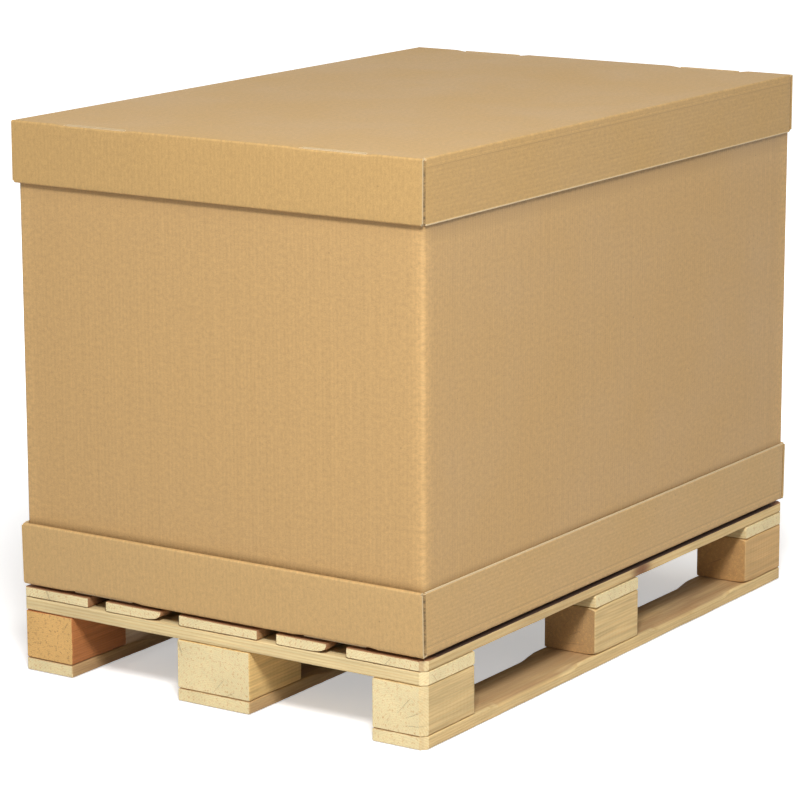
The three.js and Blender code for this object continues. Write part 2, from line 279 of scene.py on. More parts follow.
cover_board, sleeve_double = 2.8 * MM, 7 * MM
cover_pitch, sleeve_pitch = 6.8 * MM, 7.2 * MM
lid_board = board_material("lid_kraft", (0.53, 0.329, 0.122), cover_pitch, 0.028, 0.05)
tray_board = board_material("tray_kraft", (0.575, 0.367, 0.15), cover_pitch, 0.026, 0.05)
sleeve_board = board_material("sleeve_kraft", (0.545, 0.338, 0.136), sleeve_pitch, 0.028, 0.12, "X")
raw_edge = raw_edge_material("raw_board_edge", cover_board, 1)
raw_double_edge = raw_edge_material("raw_double_edge", sleeve_double, 2)
print("board finishes:", [m.name for m in (lid_board, tray_board, sleeve_board, raw_edge, raw_double_edge)])

# %% [markdown]
# ## Folding a flat sheet
# A folded box is one flat sheet, so the code works as the box maker does: it follows a line of corners,
# rounds each corner with the fold's radius, and notes for every stop along that line where the outer paper
# is, where the inner paper is, and how far along the flat sheet it lies. Building each wall as a separate
# box would be quicker, but then no fold would be rounded and no stripe would run on round the corner.

# %% A folded line with its outer and inner side
FOLD_STEPS = 6


def folded_line(corners, radii, thickness, stops):
    """Stops along a folded sheet's section: outer points, inner points, flat lengths, crease weights."""
    corners = [np.array(c, float) for c in corners]
    outer, inner, lengths, wear_and_shade_weights = [], [], [], []
    travelled = 0.0
    start = corners[0]
    for i in range(len(corners) - 1):
        heading = corners[i + 1] - corners[i]
        heading /= np.linalg.norm(heading)
        left = np.array((-heading[1], heading[0]))
        last = i == len(corners) - 2
        radius = 0.0 if last else radii[i]
        end = corners[i + 1] - radius * heading
        run = np.linalg.norm(end - start)
        for part in stops[i](run):
            outer.append(start + part * heading)
            inner.append(start + part * heading + thickness * left)
            lengths.append(travelled + part)
            wear_and_shade_weights.append(0.0)
        travelled += run
        if last:
            break
        centre = end + radius * left
        following = corners[i + 2] - corners[i + 1]
        following /= np.linalg.norm(following)
        middle_arc = (radius - thickness / 2) * math.pi / 2
        for k in range(1, FOLD_STEPS):
            angle = math.pi / 2 * k / FOLD_STEPS
            out = -left * math.cos(angle) + heading * math.sin(angle)
            outer.append(centre + radius * out)
            inner.append(centre + (radius - thickness) * out)
            lengths.append(travelled + middle_arc * k / FOLD_STEPS)
            wear_and_shade_weights.append(math.sin(2 * angle))
        travelled += middle_arc
        start = corners[i + 1] + radius * following
    return np.array(outer), np.array(inner), np.array(lengths), np.array(wear_and_shade_weights)


def even(spacing, *marks):
    """Stops from 0 to the run's length, evenly spaced between the marks that have to be kept."""
    def stops(run):
        kept = sorted({0.0, run, *[m if m >= 0 else run + m for m in marks]})
        made = [0.0]
        for a, b in zip(kept, kept[1:]):
            made.extend(np.linspace(a, b, max(1, round((b - a) / spacing)) + 1)[1:])
        return made
    return stops

# %% [markdown]
# ## From a flat grid to a closed sheet
# The folded sheet is kept as small four-sided cells, each with its outer and inner corners. A closed body
# needs both papers and the cut edges between them. A cell's side that no neighbour shares is a cut edge,
# so the code counts the sides and closes those that occur once. Slots and slits need no cutting tool then:
# their cells are simply not there.

# %% Thicken cells into a closed mesh
raw_mark = 4.0
sheet_sharp = 35  # degrees between two faces from which their edge stays sharp


class Sheet:
    """Collects cells of a board sheet and turns them into one closed mesh.

    Each corner carries a weight for wear and painted light: above 0 the paper is paler, from wear and from a
    painted highlight, below 0 it is darker as painted shade, and a cell whose corners all carry raw_mark has
    lost its outer paper and shows the raw board.
    """

    def __init__(self):
        self.index = {}
        self.outer, self.inner, self.flat, self.wear_and_shade = [], [], [], []
        self.cells = []

    def corner(self, outer, inner, flat, wear_and_shade):
        key = tuple(round(c, 7) for c in (*outer, *inner))
        if key not in self.index:
            self.index[key] = len(self.outer)
            self.outer.append(outer)
            self.inner.append(inner)
            self.flat.append(flat)
            self.wear_and_shade.append(wear_and_shade)
        return self.index[key]

    def patch(self, outer, inner, flat, wear_and_shade, keep=None):
        """Adds a grid of cells. Each coordinate may run down the grid, across it, or both."""
        outer, inner, flat = (np.stack(np.broadcast_arrays(*parts), 2) for parts in (outer, inner, flat))
        rows, columns = flat.shape[:2]
        wear_and_shade = np.broadcast_to(wear_and_shade, (rows, columns))
        ids = [[self.corner(outer[r, c], inner[r, c], flat[r, c], wear_and_shade[r, c]) for c in range(columns)]
               for r in range(rows)]
        for r in range(rows - 1):
            for c in range(columns - 1):
                if keep is None or keep(r, c):
                    around = ((r, c), (r, c + 1), (r + 1, c + 1), (r + 1, c))
                    self.cells.append(([ids[a][b] for a, b in around], [flat[a, b] for a, b in around]))

    def piece(self, name, thickness, shape, surface, edge):
        """Shapes the corners with a function and builds the object."""
        count = len(self.outer)
        points = shape(np.array(self.outer + self.inner))
        faces, uvs, kinds = [], [], []
        sides = {}
        for cell, flats in self.cells:
            faces.append(cell)
            uvs.append(flats)
            faces.append([count + i for i in reversed(cell)])
            uvs.append(list(reversed(flats)))
            kinds += [1, 1] if min(self.wear_and_shade[i] for i in cell) > raw_mark / 2 else [0, 0]
            for k in range(4):
                a, b = cell[k], cell[(k + 1) % 4]
                sides.setdefault(frozenset((a, b)), []).append((a, b, flats[k], flats[(k + 1) % 4]))
        for uses in sides.values():
            if len(uses) > 1:
                continue
            a, b, flat_a, flat_b = uses[0]
            faces.append([b, a, count + a, count + b])
            uvs.append([(0, flat_b[1]), (0, flat_a[1]), (thickness, flat_a[1]), (thickness, flat_b[1])])
            kinds.append(1)
        mesh = bpy.data.meshes.new(name)
        mesh.from_pydata(points.tolist(), [], faces)
        layer = mesh.uv_layers.new(name="sheet")
        layer.data.foreach_set("uv", np.array([p for face in uvs for p in face], float).ravel())
        mesh.materials.append(surface)
        mesh.materials.append(edge)
        mesh.polygons.foreach_set("material_index", kinds)
        wear_and_shade = mesh.attributes.new("wear_and_shade", "FLOAT", "POINT")
        wear_and_shade.data.foreach_set("value", np.array(self.wear_and_shade * 2, float))
        return finished(name, mesh, sheet_sharp)


def finished(name, mesh, sharp_angle):
    """Drops unused points, smooths all but the sharp edges, and puts the mesh in the scene."""
    body = bmesh.new()
    body.from_mesh(mesh)
    bmesh.ops.delete(body, geom=[v for v in body.verts if not v.link_faces], context="VERTS")
    bmesh.ops.recalc_face_normals(body, faces=body.faces)
    open_edges = sum(1 for e in body.edges if len(e.link_faces) != 2)
    litres = body.calc_volume(signed=True) * 1000
    body.to_mesh(mesh)
    body.free()
    mesh.polygons.foreach_set("use_smooth", [True] * len(mesh.polygons))
    mesh.set_sharp_from_angle(angle=math.radians(sharp_angle))
    mesh.validate()
    made = bpy.data.objects.new(name, mesh)
    bpy.context.collection.objects.link(made)
    print(f"{name}: {len(mesh.polygons)} faces, {open_edges} edges not closed, {litres:.2f} litres")
    return made

# %% [markdown]
# ## Lid and base tray
# Both are the same die-cut sheet, folded up for the tray and turned over for the lid. Its long walls are one
# layer. At each end the wall goes up, rolls over the top and comes down again inside, with the long walls'
# corner flaps shut between its two layers. The inner layer ends in tongues that sit in slots along the fold.
# All of it is laid out here as one grid over the flat sheet, with the slots' cells left out. A pressed crease
# line is painted as a pale line beside a darker one, a painted highlight and painted shade. The board is paler
# where its outer paper is torn at a rim, and painted shade darkens the narrow recess at each upright corner.
# These weights go into the mesh's attribute for wear and painted light.

# %% Sizes of the covers
cover_low, cover_high = (np.array(c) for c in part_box("lid"))
tray_low, tray_high = (np.array(c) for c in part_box("base_tray"))
cover_fold, tray_floor_fold, upright_fold = 3.6 * MM, 7 * MM, 7.5 * MM
lid_corner_fold, tray_corner_fold = 5 * MM, 3.6 * MM
layer_gap, corner_gap = 0.3 * MM, 0.6 * MM
lid_lean, tray_lean, lid_sag, wall_wave = 1.0 * MM, 2.6 * MM, 3 * MM, 0.45 * MM
corner_flap, flap_ease = 98 * MM, 40 * MM
slot_length, slot_inset, slot_play = 125 * MM, 105 * MM, 7 * MM
slot_dip, dip_run, dip_reach, dip_depth = 2.0 * MM, 16 * MM, 45 * MM, 12 * MM
tongue_recess = 0.1 * MM
crease_line, crease_line_highlight_and_shade = 6 * MM, ((1, 1.5), (5, -1.8))  # millimetres past the line, and its painted highlight (above 0) and painted shade (below 0) there
# how dark painted shade makes the recess at each upright corner
recess_shade = 5.0
wall_cell, floor_cell, across_cell, roll_cell = 16 * MM, 20 * MM, 18 * MM, 1 * MM
end_depth = 3 * cover_board + 2 * layer_gap
tiny = 1e-6  # metres; two places closer than this are the same
print("cover walls, mm high:", [round((b[2] - a[2]) / MM, 1)
                                for a, b in ((cover_low, cover_high), (tray_low, tray_high))])

# %% Floor and end walls
def slots_and_tongues(side_y, tongue_end):
    """The two slots at each end, and the tongue that sits at one end of each slot, as ranges of y."""
    mid = side_y - slot_inset - slot_length / 2
    slots = [(s * mid - slot_length / 2, s * mid + slot_length / 2) for s in (-1, 1)]
    if tongue_end < 0:
        return slots, [(a + layer_gap, b - slot_play + layer_gap) for a, b in slots]
    return slots, [(a + slot_play - layer_gap, b - layer_gap) for a, b in slots]


def within(y, ranges):
    return any(a < y < b for a, b in ranges)


def add_lengthwise(sheet, end_x, side_y, height, tongue_end, floor_fold):
    """Floor and end walls: one section from tongue to tongue, spread over the sheet's width."""
    t, r, gap = cover_board, cover_fold, layer_gap
    inner_x, fold_x = end_x - end_depth, end_x - t - gap - upright_fold
    bottom = t + gap
    floor_x, floor_y = end_x - floor_fold, side_y - floor_fold
    wide, narrow = side_y - corner_gap, side_y - t - corner_gap
    slots, tongues = slots_and_tongues(side_y, tongue_end)
    marks = sorted({v for pair in slots + tongues for v in pair})
    across = even(across_cell, *[floor_y + m for m in marks])(2 * floor_y)
    across = np.array([-wide, -narrow, *(np.array(across) - floor_y), narrow, wide])

    slot_start, slot_end = inner_x - gap, max(floor_x, inner_x + t + gap)
    floor_marks = [floor_x - slot_start, floor_x - fold_x, slot_start - floor_x, fold_x - floor_x]
    walls, roll = even(wall_cell), even(roll_cell)
    outer, inner, lengths, wear_and_shade_weights = folded_line(
        [(-inner_x, tongue_recess), (-inner_x, height), (-end_x, height), (-end_x, 0),
         (end_x, 0), (end_x, height), (inner_x, height), (inner_x, tongue_recess)],
        [r, r, floor_fold, floor_fold, r, r], t,
        [even(wall_cell, bottom - tongue_recess), roll, walls, even(floor_cell, *floor_marks), walls, roll,
         even(wall_cell, tongue_recess - bottom)])
    lengths = lengths - (lengths[-1] + lengths[0]) / 2
    rows = len(outer)
    wear_and_shade_weights[:2] = wear_and_shade_weights[-2:] = raw_mark

    def keep(row, column):
        """Leaves out the slots, the inner layer beside its tongues, and the board past each corner."""
        (xa, za), (xb, zb) = outer[row], outer[row + 1]
        x, z = (xa + xb) / 2, (za + zb) / 2
        y = (across[column] + across[column + 1]) / 2
        on_floor = za < tiny and zb < tiny
        if on_floor and abs(x) < fold_x:
            return abs(y) < floor_y
        if z < t and slot_start < abs(x) < slot_end and within(y, slots):
            on_tongue = abs(abs(xa) - inner_x) < tiny and abs(abs(xb) - inner_x) < tiny
            return on_tongue and within(y, tongues)
        if abs(x) > end_x - r and z < height - r + tiny:
            return True
        if not on_floor and abs(abs(x) - inner_x) < tiny and z < bottom:
            return within(y, tongues)
        return abs(y) < (floor_y if on_floor else narrow)

    places = [(part[:, :1], across, part[:, 1:]) for part in (outer, inner)]
    sheet.patch(*places, (lengths[:, None], across), wear_and_shade_weights[:, None], keep)
    on_floor = [i for i in range(rows) if outer[i][1] < tiny and abs(outer[i][0]) <= fold_x + tiny]
    return outer[on_floor, 0], lengths[on_floor]

# %% Long walls and corner flaps
def cover_sheet(end_x, side_y, height, tongue_end, floor_fold, corner_fold):
    """The cover's cells with its floor at height 0 and its walls going up."""
    t = cover_board
    sheet = Sheet()
    side_x, side_flat = add_lengthwise(sheet, end_x, side_y, height, tongue_end, floor_fold)
    flap_x = end_x - t - layer_gap
    fold_x, floor_y = flap_x - upright_fold, side_y - floor_fold
    flap_top = height - t - layer_gap
    line_stops = [crease_line + c * MM for c in (0, 1, 2, 4, 5, 6)]
    for side in (-1, 1):
        wall = even(wall_cell, flap_top - height, *line_stops, -2 * MM)
        so, si, sl, sc = folded_line([(floor_y, 0), (side_y, 0), (side_y, height)], [floor_fold], t,
                                     [even(1), wall])
        # a painted highlight and painted shade along the pressed crease line
        for line, weight in crease_line_highlight_and_shade:
            sc[np.abs(so[:, 1] - floor_fold - crease_line - line * MM) < tiny] = weight
        sc[-2:] = raw_mark
        places = [(side_x, side * part[:, :1], part[:, 1:]) for part in (so, si)]
        sheet.patch(*places, (side_flat, side * (floor_y + sl[:, None])), sc[:, None])

        flap_rows = [i for i, (_, z) in enumerate(so) if floor_fold - tiny < z < flap_top + tiny]
        levels, flap_flat = so[flap_rows, 1:], side * (floor_y + sl[flap_rows, None])
        for end in (-1, 1):
            po, pi, pl, pc = turned_fold((fold_x, side_y), corner_fold, t, corner_flap)
            places = [(end * part[:, 0], side * part[:, 1], levels) for part in (po, pi)]
            sheet.patch(*places, (end * (fold_x + pl), flap_flat), pc)
    return sheet


def turned_fold(start, radius, thickness, length):
    """A plan view of one upright fold from the side wall, turning in behind the end wall."""
    x0, y0 = start
    outer, inner, lengths, wear_and_shade_weights = [], [], [], []
    for k in range(FOLD_STEPS + 1):
        angle = math.pi / 2 * k / FOLD_STEPS
        out = np.array((math.sin(angle), math.cos(angle)))
        centre = np.array((x0, y0 - radius))
        outer.append(centre + radius * out)
        inner.append(centre + (radius - thickness) * out)
        lengths.append((radius - thickness / 2) * angle)
        # painted shade in the recess behind the upright fold and on the flap
        wear_and_shade_weights.append(-recess_shade * min(1, k / 2))
    for part in [3 * MM, 8 * MM, 15 * MM, 25 * MM, *np.linspace(flap_ease, length, 5)]:
        shut = (upright_fold - radius) * min(1.0, part / flap_ease) ** 0.8
        outer.append(np.array((x0 + radius + shut, y0 - radius - part)))
        inner.append(np.array((x0 + radius + shut - thickness, y0 - radius - part)))
        lengths.append(lengths[FOLD_STEPS] + part)
        wear_and_shade_weights.append(-recess_shade)
    return np.array(outer), np.array(inner), np.array(lengths), np.array(wear_and_shade_weights)

# %% [markdown]
# ## Settling the covers
# A sheet of board is never quite flat. The end walls lean out a little because three layers push against
# each other, the lid's top sags between the sleeve's walls, and the walls are faintly wavy. One function
# moves every point by smooth rules after folding, so the board keeps its thickness. Sculpting would look
# alike, but couldn't be repeated for the second cover.

# %% Shape the two covers
end_zone, side_zone = 18.4 * MM, 8 * MM  # how far in a point still belongs to a wall


def ripple(x, y, seed):
    """A smooth, repeatable wave between 0 and 1 over a panel."""
    return 0.5 + 0.25 * (np.sin(5.1 * x + seed) * np.cos(6.3 * y + 2 * seed) + np.sin(9.7 * y - 3.1 * x + seed))


def make_cover(name, low, high, lean, sag, seed, tongue_end, floor_fold, corner_fold, upside_down, surface):
    """Folds one cover into the CAD box and settles it. The floor dips at the slots, where it was pressed."""
    middle = (low + high) / 2
    height = high[2] - low[2]
    end_x = (high[0] - low[0]) / 2 - lean
    side_y = (high[1] - low[1]) / 2
    sheet = cover_sheet(end_x, side_y, height, tongue_end, floor_fold, corner_fold)

    def settle(points):
        x, y, z = points.T
        from_end, from_side = end_x - np.abs(x), side_y - np.abs(y)
        up = z / height
        push = lean * up - wall_wave * ripple(y, z, seed) * up
        x_new = x + np.where(from_end < end_zone, np.sign(x) * push, 0)
        y_new = y - np.where(from_side < side_zone, np.sign(y) * wall_wave * ripple(x, z, seed + 1) * up, 0)
        inside = (np.clip(1 - (x / (end_x - 20 * MM)) ** 2, 0, 1)
                  * np.clip(1 - (y / (side_y - 12 * MM)) ** 2, 0, 1))
        from_slot = np.abs(np.abs(y) - (side_y - slot_inset - slot_length / 2))
        along_slot = np.clip((slot_length / 2 + dip_run - from_slot) / dip_run, 0, 1)
        beside_slot = np.clip(1 - (from_end - cover_fold) / dip_reach, 0, 1) ** 2
        from_tongue = np.abs(end_depth - cover_board / 2 - from_end)
        tongue = (from_tongue < cover_board / 2 + 0.05 * MM) & (from_slot < slot_length / 2 - 0.01 * MM)
        dip = slot_dip * along_slot * beside_slot * (1 - np.clip(z / dip_depth, 0, 1))
        z_new = z + np.where(z < 2 * cover_board, sag * inside, 0) + np.where(tongue, 0, dip)
        z_new = high[2] - z_new if upside_down else low[2] + z_new
        return np.stack([x_new + middle[0], y_new + middle[1], z_new], 1)

    made = sheet.piece(name, cover_board, settle, surface, raw_edge)
    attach(made, "root")
    return made


lid = make_cover("lid_sheet", cover_low, cover_high, lid_lean, lid_sag, 0.7, -1, cover_fold, lid_corner_fold,
                 True, lid_board)
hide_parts("lid")
tray = make_cover("tray_sheet", tray_low, tray_high, tray_lean, 0.0, 2.1, 1, tray_floor_fold, tray_corner_fold,
                  False, tray_board)
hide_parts("base_tray")

# %% [markdown]
# ## The sleeve
# The collar itself is heavy double-wall board, scored and bent round four corners and glued to itself. Its
# seam is a flap folded in behind the long panel, so the panel's cut edge shows at that corner, and the
# flap's end shows through the panel as a faint upright line. Its outline is a path in plan, and the same
# sheet code raises it to full height. The board is paler near its corners. Painted shadow darkens it in two
# bands, under the lid's rim and above the tray; marking them on the mesh keeps them level with those rims.

# %% Fold the sleeve
sleeve_low, sleeve_high = (np.array(c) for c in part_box("sleeve"))
sleeve_fold = 8 * MM
glue_flap, lap_weight = 66 * MM, 0.55
panel_bow, bow_zone = 1.2 * MM, 20 * MM
panel_cell, score_zone, pale_corner_reach = 22 * MM, 14 * MM, 16 * MM
# painted shadow bands: dark just under the lid's rim, fading lower down, and above the tray's rim
lid_shadow_dark, lid_shadow_reach, tray_shadow_reach = 12 * MM, 34 * MM, 12 * MM
short_side_shadow_share = 0.3
print("sleeve, mm:", [round(v / MM, 1) for v in sleeve_high - sleeve_low])


def make_sleeve():
    """Folds the sleeve in plan, makes its corners paler, paints shadow bands under the lid's rim and above the
    tray, and bows its panels a little.
    """
    x, y, top = sleeve_high
    bottom = sleeve_low[2]
    t, r = sleeve_double, sleeve_fold
    panel = even(panel_cell, r, score_zone, -score_zone)
    lap_marks = [-glue_flap - c * MM for c in (-2, 0, 2)]
    outer, inner, lengths, wear_and_shade_weights = folded_line(
        [(x - glue_flap, -y + t), (x, -y + t), (x, y), (-x, y), (-x, -y), (x, -y)], [r] * 4, t,
        [even(20 * MM), panel, panel, panel, even(panel_cell, score_zone, -score_zone, *lap_marks)])
    for i, (a, b) in enumerate(outer):
        to_corner = min(abs(a - s * x) + abs(b - q * y) for s in (-1, 1) for q in (-1, 1))
        wear_and_shade_weights[i] = max(wear_and_shade_weights[i], min(1.0, max(0.0, 1.6 - to_corner / pale_corner_reach)))
        if abs(a - (x - glue_flap)) < 0.1 * MM and abs(b + y) < 0.1 * MM:
            wear_and_shade_weights[i] = lap_weight
    # painted shadow under the lid's rim, weaker on the short panels, and above the tray's rim
    lid_rim, tray_rim = cover_low[2] - bottom, tray_high[2] - bottom
    lid_shadow_stops = [lid_rim - lid_shadow_reach, lid_rim - lid_shadow_dark, lid_rim]
    tray_shadow_stops = [tray_rim, tray_rim + tray_shadow_reach]
    heights = np.array(even(26 * MM, *lid_shadow_stops, *tray_shadow_stops)(top - bottom))
    lid_rim_shadow = np.interp(heights, lid_shadow_stops, [0, 1.4, 3.2])
    tray_rim_shadow = np.interp(heights, tray_shadow_stops, [2.6, 0])
    on_long = np.abs(outer[:, 1]) > y - t - MM
    painted_shadow = lid_rim_shadow[:, None] * np.where(on_long, 1.0, short_side_shadow_share) + tray_rim_shadow[:, None]
    places = [(part[:, 0], part[:, 1], bottom + heights[:, None]) for part in (outer, inner)]
    sheet = Sheet()
    sheet.patch(*places, (lengths, heights[:, None]), wear_and_shade_weights - painted_shadow)

    def settle(points):
        px, py, pz = points.T
        mid = np.sin(np.pi * np.clip((pz - bottom) / (top - bottom), 0, 1)) ** 0.5
        bow_y = panel_bow * mid * np.cos(0.5 * np.pi * px / x) ** 2 * (0.5 + ripple(px, pz, 0.4))
        bow_x = panel_bow * mid * np.cos(0.5 * np.pi * py / y) ** 2 * (0.5 + ripple(py, pz, 1.9))
        return np.stack([px - np.where(np.abs(px) > x - bow_zone, np.sign(px) * bow_x, 0),
                         py - np.where(np.abs(py) > y - bow_zone, np.sign(py) * bow_y, 0), pz], 1)

    made = sheet.piece("sleeve_sheet", t, settle, sleeve_board, raw_double_edge)
    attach(made, "root")
    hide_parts("sleeve")
    return made


sleeve = make_sleeve()

# %% [markdown]
# ## What sawn pine looks like
# Timber is a solid texture: growth rings are long cones about the heart of the trunk, and each board is cut
# somewhere beside it. If the rings are computed in the piece's own space, its sides show long stripes and
# its ends show arcs without any further work. The node group takes a place whose first axis runs along the
# grain. Each piece gets its own heart, so no two boards match. Where boards face the pallet's inside, painted
# shade darkens them, and the deck's flanks and tops get a deeper painted shade, darkest away from its ends. A
# mask over the piece's own place leaves the outermost faces unshaded, so no image is needed.

# %% Pine as a node group
def pine_group():
    tree, given, result = shader_group(
        "sawn pine",
        {"Place": "vector", "Grain Normal": "value", "Ring": "value", "Contrast": "value", "Knots": "value"},
        {"Late Wood": "value", "Knot": "value", "Crack": "value", "End Grain": "value", "Tone": "value",
         "Height": "value", "Roughness": "value"},
    )
    place = given["Place"]
    wander = node(tree, "ShaderNodeTexNoise", {}, {
        "Vector": stretched(tree, place, (0.8, 5, 5)), "Scale": 1.0, "Detail": 2.0}, 1)
    shifted = node(tree, "ShaderNodeVectorMath", {"operation": "MULTIPLY_ADD"},
                   {0: wander, 1: (0.0, 0.03, 0.03), 2: place})
    radial = stretched(tree, shifted, (0.012, 1, 1))
    distance = length_of(tree, radial)
    rings = maths(tree, "DIVIDE", distance, given["Ring"])
    uneven = times(tree, cloudy(tree, radial, 26.0), 1.6)
    saw = maths(tree, "FRACT", maths(tree, "ADD", rings, uneven))
    late_wood = times(tree, span(tree, saw, 0.35, 0.92), span(tree, saw, 0.93, 1.0, 1.0, 0.0))

    knots = node(tree, "ShaderNodeTexVoronoi", {"feature": "F1"}, {
        "Vector": stretched(tree, place, (3.4, 8.5, 8.5)), "Scale": 1.0, "Randomness": 1.0}, 0)
    knot = times(tree, span(tree, knots, 0.07, 0.17, 1.0, 0.0), given["Knots"])
    around = times(tree, span(tree, knots, 0.1, 0.45, 1.0, 0.0), given["Knots"])

    end_grain = span(tree, given["Grain Normal"], 0.6, 0.8)
    fibres = cloudy(tree, stretched(tree, place, (9, 420, 420)), 1.0, 3.0, 0.65)
    fuzz = picked(tree, end_grain, fibres, cloudy(tree, place, 900.0, 2.0, 0.7))
    streaks = cloudy(tree, stretched(tree, place, (5, 110, 110)), 1.0, 3.0, 0.6)
    specks = cloudy(tree, place, 190.0, 4.0, 0.8)
    rougher = maths(tree, "ADD", 0.5, times(tree, maths(tree, "SUBTRACT", specks, 0.5), 0.9))
    coarse = picked(tree, end_grain, streaks, rougher)
    tone = maths(tree, "MULTIPLY_ADD", swing(tree, stretched(tree, place, (2.2, 9, 9)), 1.0, 4.0, 0.6), 0.5, 1.0)
    for part, amount in ((coarse, 0.7), (fuzz, 0.35)):
        tone = maths(tree, "MULTIPLY_ADD", maths(tree, "SUBTRACT", part, 0.5), amount, tone)

    turn = maths(tree, "ARCTAN2", axis(tree, place, "Z"), axis(tree, place, "Y"))
    ray = node(tree, "ShaderNodeCombineXYZ", {}, {0: times(tree, turn, 9.0), 1: times(tree, distance, 9.0)})
    split = span(tree, cloudy(tree, ray, 1.3, 2.0, 0.5), 0.69, 0.72)
    shake = span(tree, cloudy(tree, stretched(tree, place, (3.5, 75, 75)), 1.0, 2.0, 0.5), 0.70, 0.76)
    crack = picked(tree, end_grain, shake, split)
    shown = times(tree, given["Contrast"], span(tree, end_grain, 0.0, 1.0, 1.0, 0.35))
    dotted = times(tree, span(tree, specks, 0.50, 0.66, 0.0, 0.75), end_grain)

    saw_marks = maths(tree, "SINE", times(tree, axis(tree, shifted, "X"), 620.0))
    relief = maths(tree, "MULTIPLY_ADD", fuzz, 1.0, times(tree, saw_marks, 0.16))
    ringed = maths(tree, "MULTIPLY_ADD", late_wood, 0.35, relief)
    fill(tree, result, {
        "Late Wood": maths(tree, "ADD", times(tree, late_wood, shown), dotted, clamp=True),
        "Knot": maths(tree, "ADD", times(tree, knot, 0.8), times(tree, around, 0.2)),
        "Crack": crack, "End Grain": end_grain, "Tone": tone,
        "Height": maths(tree, "SUBTRACT", ringed, times(tree, crack, 0.8)),
        "Roughness": span(tree, fuzz, 0.3, 0.7, 0.85, 0.65),
    })
    return tree


pine = pine_group()
print("pine sockets:", [s.name for s in pine.interface.items_tree])

# %% A material for each piece of timber
end_colour, side_colour, late_colour = (0.98, 0.83, 0.48), (0.78, 0.57, 0.27), (0.62, 0.37, 0.135)
knot_colour, crack_colour = (0.20, 0.085, 0.03), (0.20, 0.10, 0.045)
# colours of the painted shade on inner faces, and of the deeper painted shade in the deck's gaps
painted_shade_colour, deep_shade_colour = (0.34, 0.16, 0.07), (0.05, 0.022, 0.012)
pine_relief = 0.5 * MM


def painted_shade_on(tree, clean, place, normal, sawn_face, painted_shade, deep_shade):
    """Paints shade on all but a board's outermost side. With the deeper shade switched on, the top gets painted
    shade too, and the shade is darkest away from the board's ends.
    """
    # painted shade on sawn faces that face the pallet's inside
    inner_place = span(tree, maths(tree, "ABSOLUTE", axis(tree, place, "Y")), 0.392, 0.396, 1.0, 0.0)
    inward = times(tree, inner_place, sawn_face)
    patches = span(tree, cloudy(tree, stretched(tree, place, (3, 40, 40)), 1.0, 4.0, 0.6), 0.35, 0.6, 0.55, 1.0)
    amount = times(tree, times(tree, inward, patches), painted_shade)
    shade_tint = (*painted_shade_colour, 1)
    if deep_shade:
        # the deck's tops get painted shade too, and the shade turns near black away from the ends
        amount = maths(tree, "MAXIMUM", amount, span(tree, axis(tree, normal, "Z"), 0.75, 0.9))
        near_end = span(tree, maths(tree, "ABSOLUTE", axis(tree, place, "X")), 0.555, 0.592)
        shade_tint = blended(tree, near_end, (*deep_shade_colour, 1), shade_tint)
    return blended(tree, amount, clean, shade_tint)


def pine_material(name, along, heart, end=end_colour, side=side_colour, late=late_colour, ring=4.2 * MM,
                  contrast=0.5, knots=1.0, cracks=0.3, painted_shade=0.0, deep_shade=False):
    """Pine for one piece. heart is the trunk's centre line beside or in the piece, in the scene."""
    tree = started(name)
    place = node(tree, "ShaderNodeTexCoord", {}, {}, "Object")
    turn = (0, 0, 0) if along == 0 else (0, 0, math.pi / 2)
    moved = node(tree, "ShaderNodeVectorMath", {"operation": "SUBTRACT"}, {0: place, 1: heart})
    grain = node(tree, "ShaderNodeVectorRotate", {"rotation_type": "EULER_XYZ"}, {0: moved, "Rotation": turn})
    normal = node(tree, "ShaderNodeNewGeometry", {}, {}, "Normal")
    wood = use_group(tree, pine, {
        "Place": grain, "Grain Normal": maths(tree, "ABSOLUTE", axis(tree, normal, along)),
        "Ring": ring, "Contrast": contrast, "Knots": knots,
    })
    early = blended(tree, wood["End Grain"], (*side, 1), (*end, 1))
    ringed = blended(tree, wood["Late Wood"], early, (*late, 1))
    knotted = blended(tree, wood["Knot"], ringed, (*knot_colour, 1))
    toned = blended(tree, 1.0, knotted, wood["Tone"], "MULTIPLY")
    toned = blended(tree, times(tree, wood["Crack"], cracks), toned, (*crack_colour, 1))
    if painted_shade:
        sawn_face = maths(tree, "SUBTRACT", 1.0, wood["End Grain"])
        toned = painted_shade_on(tree, toned, place, normal, sawn_face, painted_shade, deep_shade)
    return plain_material(name, toned, wood["Roughness"], wood["Height"], pine_relief)

# %% [markdown]
# ## The pallet's places
# The CAD boxes give each board's place. A block's box also holds its nails, so its height is taken from the
# boards above and below it. The pallet's four outer corners are cut off at a slant on every layer, so that
# wrapping film doesn't tear on them, and one corner is cut less. One plane for each corner does it.

# %% Read the pallet's layers
pallet_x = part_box("bottom_board_1")[1][0]
pallet_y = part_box("bottom_board_3")[1][1]
corner_cut, worn_corner_cut = 12 * MM, 4 * MM
bottom_top, cross_low, cross_top = 22 * MM, 104 * MM, 127 * MM
deck_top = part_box("deck_board_1")[1][2]
slant_planes = []
for sx in (-1, 1):
    for sy in (-1, 1):
        cut = worn_corner_cut if (sx, sy) == (-1, 1) else corner_cut
        point = Vector((sx * (pallet_x - cut / 2), sy * (pallet_y - cut / 2), 0))
        slant_planes.append((point, Vector((sx, sy, 0)).normalized()))


def trims_for(low, high):
    """The corner planes that touch a piece."""
    touched = []
    for point, direction in slant_planes:
        corner = Vector((high[0] if direction.x > 0 else low[0], high[1] if direction.y > 0 else low[1], 0))
        if (corner - point).dot(direction) > 0.1 * MM:
            touched.append((point, direction))
    return touched


